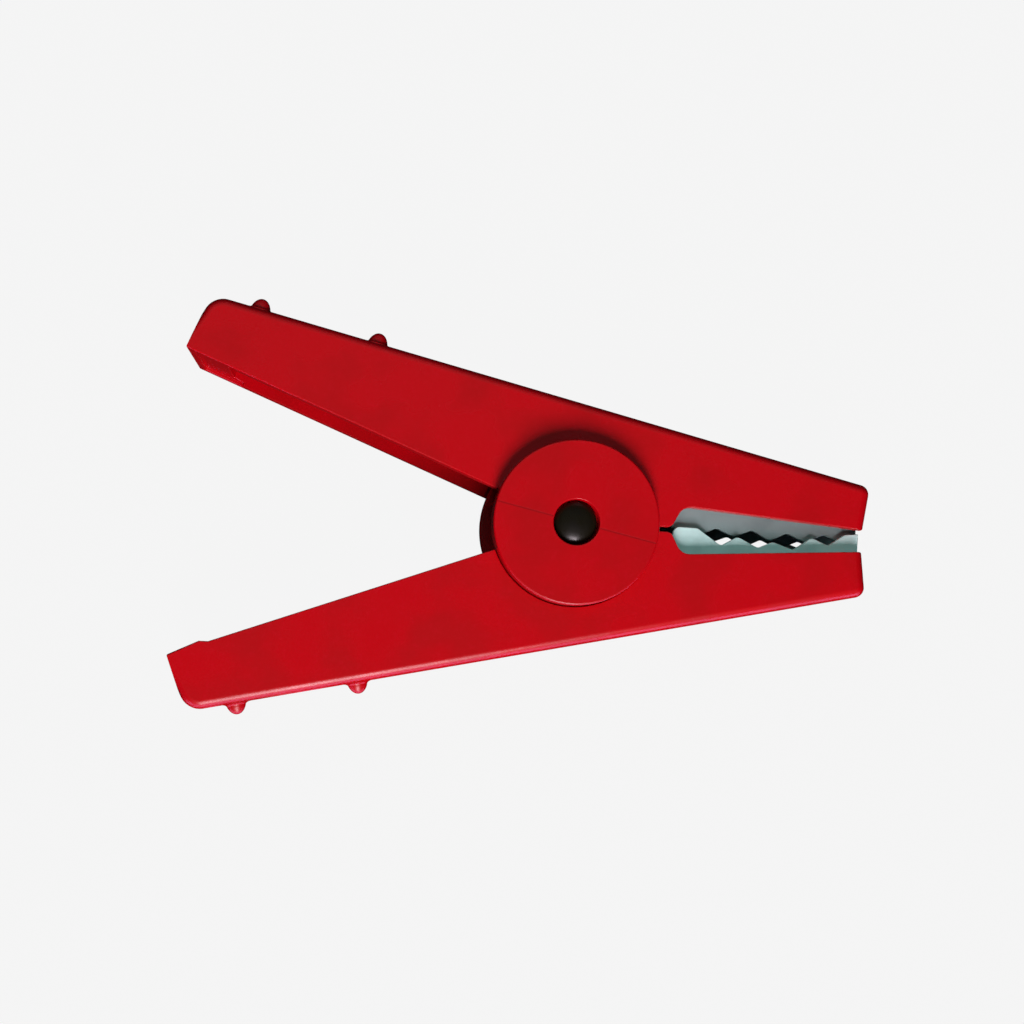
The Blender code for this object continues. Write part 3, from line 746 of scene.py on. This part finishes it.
def makePushNuts(finish):
    for side, half in ((upper, "upper"), (lower, "lower")):
        for end, along in lever["studs"].items():
            made = makePushNut(half + "PushNut" + end.capitalize(), backFrame(along, 0, side))
            finishPiece(made, half + "_half", "spring_steel", finish, f"{half}_push_nut_{end}")


def makeTerminal(screwFinish, washerFinish):
    top = -(lever["wall"] + jaw["sheet"] + 2 * jaw["sheetGap"])
    place = backFrame(terminal["along"], 0, upper)
    hole, rim, under = terminal["hole"], terminal["washer"], top - terminal["washerSheet"]
    washer = put(turnPiece("clampWasher", [(hole, under), (rim, under), (rim, top), (hole, top)], 64), place)
    soften(washer, terminal["washerEdge"], 2, 50)
    finishPiece(washer, "upper_half", "brass", washerFinish, "clamp_washer")
    face = under - 2 * jaw["sheetGap"]
    crown = face - terminal["headHeight"]
    shaft, end = terminal["shaft"], -terminal["shaftEnd"]
    profile = [(0, crown), (terminal["head"], crown), (terminal["head"], face), (shaft, face)]
    screw = turnPiece("terminalScrew", profile + [(shaft, end), (0, end)], 64)
    slot = bar(2 * mm, terminal["slotHalf"])
    carve(screw, "DIFFERENCE", drawPlate("slot", slot, crown - mm, crown + terminal["slotDepth"]))
    put(screw, place)
    soften(screw, terminal["headEdge"], 3, 50)
    finishPiece(screw, "upper_half", "screw_steel", screwFinish, "terminal_screw")


class Wire:
    # one output of a node, with arithmetic
    def __init__(self, paint, socket):
        self.paint = paint
        self.socket = socket

    def sum(self, operation, first, second):
        return self.paint.node("ShaderNodeMath", {"operation": operation}, {0: first, 1: second})

    def __add__(self, other):
        return self.sum("ADD", self, other)

    def __radd__(self, other):
        return self.sum("ADD", other, self)

    def __sub__(self, other):
        return self.sum("SUBTRACT", self, other)

    def __rsub__(self, other):
        return self.sum("SUBTRACT", other, self)

    def __mul__(self, other):
        return self.sum("MULTIPLY", self, other)

    def __rmul__(self, other):
        return self.sum("MULTIPLY", other, self)

    def __gt__(self, other):
        return self.sum("GREATER_THAN", self, other)

    def __lt__(self, other):
        return self.sum("LESS_THAN", self, other)


class Paint:
    def __init__(self, name, fixed):
        self.material = bpy.data.materials.new(name)
        self.material.use_nodes = True
        self.tree = self.material.node_tree
        self.shader = self.tree.nodes["Principled BSDF"]
        for socket, value in fixed.items():
            self.shader.inputs[socket].default_value = value
        self.place = self.node("ShaderNodeTexCoord", {}, {}, "Object")

    def node(self, kind, settings, sockets, output=0):
        made = self.tree.nodes.new(kind)
        for key, value in settings.items():
            setattr(made, key, value)
        for key, value in sockets.items():
            self.feed(made.inputs[key], value)
        return Wire(self, made.outputs[output])

    def feed(self, socket, value):
        if isinstance(value, Wire):
            self.tree.links.new(value.socket, socket)
        else:
            socket.default_value = value

    def set(self, name, value):
        self.feed(self.shader.inputs[name], value)

    def noise(self, size, detail=2, stretch=(1, 1, 1)):
        # size is the length of one blotch; stretch squeezes the pattern along each axis
        turned = self.node("ShaderNodeMapping", {}, {"Vector": self.place, "Scale": stretch})
        return self.node("ShaderNodeTexNoise", {}, {"Vector": turned, "Scale": 1 / size, "Detail": detail})

    def ramp(self, value, low, high, toLow=0.0, toHigh=1.0):
        sockets = {"Value": value, "From Min": low, "From Max": high, "To Min": toLow, "To Max": toHigh}
        return self.node("ShaderNodeMapRange", {"interpolation_type": "SMOOTHSTEP"}, sockets)

    def mix(self, factor, first, second, way="MIX"):
        settings = {"data_type": "RGBA", "blend_type": way}
        return self.node("ShaderNodeMix", settings, {0: factor, 6: first, 7: second}, 2)

    def bump(self, height, distance):
        self.set("Normal", self.node("ShaderNodeBump", {}, {"Height": height, "Distance": distance}))


red = {
    "base": (0.42, 0.0008, 0.004, 1),
    "deep": (0.35, 0.0006, 0.0025, 1),
    "pale": (0.50, 0.003, 0.015, 1),
    "seam": (0.24, 0.001, 0.003, 1),
    "roughness": 0.28,
}


def redPlastic():
    paint = Paint("redPlastic", {"Specular IOR Level": 0.2})
    clouds = paint.noise(6 * mm, 3)
    grain = paint.noise(0.3 * mm, 2)
    colour = paint.mix(paint.ramp(clouds, 0.4, 0.65, 0, 0.8), red["base"], red["deep"])
    colour = paint.mix(paint.ramp(grain, 0.5, 0.75, 0, 0.16), colour, red["pale"])
    turn = hinge["seamTurn"]
    acrossSeam = paint.node(
        "ShaderNodeVectorMath",
        {"operation": "DOT_PRODUCT"},
        {0: paint.place, 1: (-math.sin(turn) / mm, math.cos(turn) / mm, 0)},
        "Value",
    )
    height = paint.node("ShaderNodeSeparateXYZ", {}, {"Vector": paint.place}, "Z")
    offSeam = paint.node("ShaderNodeMath", {"operation": "ABSOLUTE"}, {0: acrossSeam})
    seam = (1 - paint.ramp(offSeam, 0.04, hinge["seamHalf"] / mm)) * (height > cadHigh.z - 0.02 * mm)
    paint.set("Base Color", paint.mix(seam * 0.75, colour, red["seam"]))
    paint.set("Roughness", paint.ramp(clouds, 0.3, 0.7, red["roughness"] - 0.04, red["roughness"] + 0.05))
    peel = paint.noise(0.9 * mm, 2)
    paint.bump(peel * 0.7 + grain * 0.3 - seam * 0.6, 0.012 * mm)
    return paint.material


def jawSteel(name, base):
    paint = Paint(name, {"Metallic": 0.25})
    lines = paint.noise(0.5 * mm, 4, (0.15, 1.6, 1))
    tarnish = paint.noise(2.5 * mm, 4)
    dark = tuple(0.75 * value for value in base[:3]) + (1,)
    colour = paint.mix(paint.ramp(tarnish, 0.45, 0.75, 0, 0.7), base, dark)
    paint.set("Base Color", colour)
    paint.set("Roughness", paint.ramp(lines, 0.3, 0.7, 0.38, 0.52))
    paint.bump(lines, 0.01 * mm)
    return paint.material


def plainFinish(name, base, roughness, metallic, grainSize, shine=0.5):
    paint = Paint(name, {"Metallic": metallic, "Specular IOR Level": shine})
    wear = paint.noise(grainSize, 4)
    dark = tuple(0.7 * value for value in base[:3]) + (1,)
    paint.set("Base Color", paint.mix(paint.ramp(wear, 0.4, 0.75), base, dark))
    paint.set("Roughness", paint.ramp(wear, 0.3, 0.7, roughness - 0.05, roughness + 0.07))
    paint.bump(wear, 0.004 * mm)
    return paint.material


view = {
    "roll": math.radians(3.4),  # the clip's axis of symmetry dips to the right
    "eye": (-17.0, -11.09, 135.2),
    "aim": (-16.73, -6.9, 11.2),
    "lens": 51.05,
    "shift": (0.13, 0.09),
}
light = {
    # each lamp: where it stands, its width and height, its power and colour, and whether it only lights
    # or only shines
    "key": {
        "from": (0, -290, 270),
        "size": (0.10, 0.23),
        "power": 2.45,
        "colour": (1.0, 0.88, 0.94),
    },
    "fill": {
        "from": (-60, 250, 330),
        "size": (0.5, 0.5),
        "power": 0.85,
        "colour": (0.5, 1.0, 0.97),
        "lights": True,
    },
    "top": {
        "from": (20, 60, 420),
        "size": (0.5, 0.5),
        "power": 0.06,
        "colour": (0.95, 1.0, 0.99),
        "shines": True,
    },
    "low": {
        "from": (0, -500, 40),
        "size": (1.2, 0.30),
        "power": 7.5,
        "colour": (0.75, 0.5, 1.0),
        "shines": True,
    },
    "world": 0.012,
    "floor": (0.905, 0.905, 0.905, 1),
}


def seen(place):
    # a place given across and up as the camera sees them, and above the floor
    roll = view["roll"]
    across = Vector((math.cos(roll), math.sin(roll), 0))
    upwards = Vector((-math.sin(roll), math.cos(roll), 0))
    return (across * place[0] + upwards * place[1] + Vector((0, 0, place[2]))) * mm


def setCamera():
    camera = bpy.data.objects.new("camera", bpy.data.cameras.new("camera"))
    bpy.context.scene.collection.objects.link(camera)
    camera.data.lens = view["lens"]
    camera.data.sensor_width = 36
    camera.data.shift_x, camera.data.shift_y = view["shift"]
    camera.data.clip_start = 5 * mm
    back = (seen(view["eye"]) - seen(view["aim"])).normalized()
    right = seen((0, 1, 0)).cross(back).normalized()
    turn = Matrix((right, back.cross(right), back)).transposed().to_4x4()
    camera.matrix_world = Matrix.Translation(seen(view["eye"])) @ turn
    bpy.context.scene.camera = camera


def setStage():
    scene = bpy.context.scene
    scene.view_settings.view_transform = "Standard"
    world = bpy.data.worlds.new("studio")
    world.use_nodes = True
    world.node_tree.nodes["Background"].inputs["Color"].default_value = (1, 1, 1, 1)
    world.node_tree.nodes["Background"].inputs["Strength"].default_value = light["world"]
    scene.world = world
    for name in ("key", "fill", "top", "low"):
        lamp = bpy.data.lights.new(name, "AREA")
        lamp.shape = "RECTANGLE"
        lamp.size, lamp.size_y = light[name]["size"]
        lamp.energy = light[name]["power"]
        lamp.color = light[name]["colour"]
        stand = bpy.data.objects.new(name, lamp)
        scene.collection.objects.link(stand)
        stand.location = seen(light[name]["from"])
        stand.rotation_euler = stand.location.to_track_quat("Z", "Y").to_euler()
        stand.visible_glossy = not light[name].get("lights")
        stand.visible_diffuse = not light[name].get("shines")
    bpy.ops.object.select_all(action="DESELECT")
    bpy.ops.mesh.primitive_plane_add(size=3, location=(0, 0, 0))
    floor = bpy.context.object
    floor.name = "floor"
    paint = Paint("paleFloor", {"Roughness": 0.9, "Specular IOR Level": 0.0, "Emission Strength": 1.0})
    paint.set("Base Color", (0.004, 0.004, 0.004, 1))
    paint.set("Emission Color", light["floor"])
    floor.data.materials.append(paint.material)
    floor.visible_glossy = False
    floor.visible_diffuse = False


def main():
    setCamera()
    setStage()
    print("camera and studio are set")
    redFinish = redPlastic()
    makeUpperLever(redFinish)
    makeLowerLever(redFinish)
    studs = [(along, lever["studRadius"] + 0.1 * mm) for along in lever["studs"].values()]
    # both jaws are the same plated steel: the lower jaw's copy is painted lighter as painted light, and the
    # upper jaw's copy is painted darker as painted shade
    litJawSteel = jawSteel("litJawSteel", (0.60, 0.84, 0.80, 1))
    shadedJawSteel = jawSteel("shadedJawSteel", (0.24, 0.34, 0.33, 1))
    terminalHole = [(terminal["along"], terminal["hole"])]
    makeJaw("upperJaw", "upper_jaw", "upper_half", upperJaw, studs + terminalHole, shadedJawSteel)
    makeJaw("lowerJaw", "lower_jaw", "lower_half", lowerJaw, studs, litJawSteel)
    black = plainFinish("blackGloss", (0.006, 0.0045, 0.002, 1), 0.3, 0.0, 0.8 * mm, 0.25)
    makePin(black)
    makeCap(black)
    makeSleeve(plainFinish("naturalNylon", (0.72, 0.7, 0.62, 1), 0.45, 0.0, 1.5 * mm))
    wire = plainFinish("springSteel", (0.42, 0.42, 0.4, 1), 0.28, 1.0, 0.7 * mm)
    makeSpring(wire)
    makePushNuts(wire)
    zinc = plainFinish("brightZinc", (0.62, 0.64, 0.62, 1), 0.25, 1.0, 0.6 * mm)
    makeTerminal(zinc, plainFinish("plainBrass", (0.72, 0.5, 0.2, 1), 0.28, 1.0, 0.6 * mm))
    print("all pieces are made")


main()
